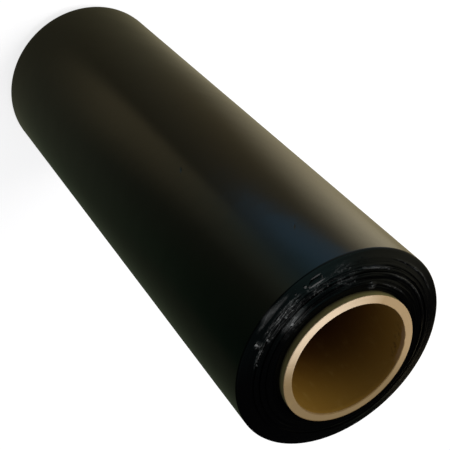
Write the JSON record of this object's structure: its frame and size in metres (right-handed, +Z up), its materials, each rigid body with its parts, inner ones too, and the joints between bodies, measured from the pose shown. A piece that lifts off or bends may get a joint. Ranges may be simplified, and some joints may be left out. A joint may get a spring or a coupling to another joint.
{
  "type": "stretch wrap roll",
  "caption": "Roll of black stretch wrap film wound on a paperboard core tube, standing on one end of the core.",
  "frame": {"origin": "centre of the foot of the core tube, on the surface that the roll stands on", "axes": "+Z up along the core tube, +X and +Y across it"},
  "size_m": [0.1369, 0.137, 0.409],
  "materials": {
    "film": "satin",
    "core": "matte"
  },
  "bodies": {
    "root": {"film_roll": "film", "core_tube": "core"}
  },
  "joints": []
}
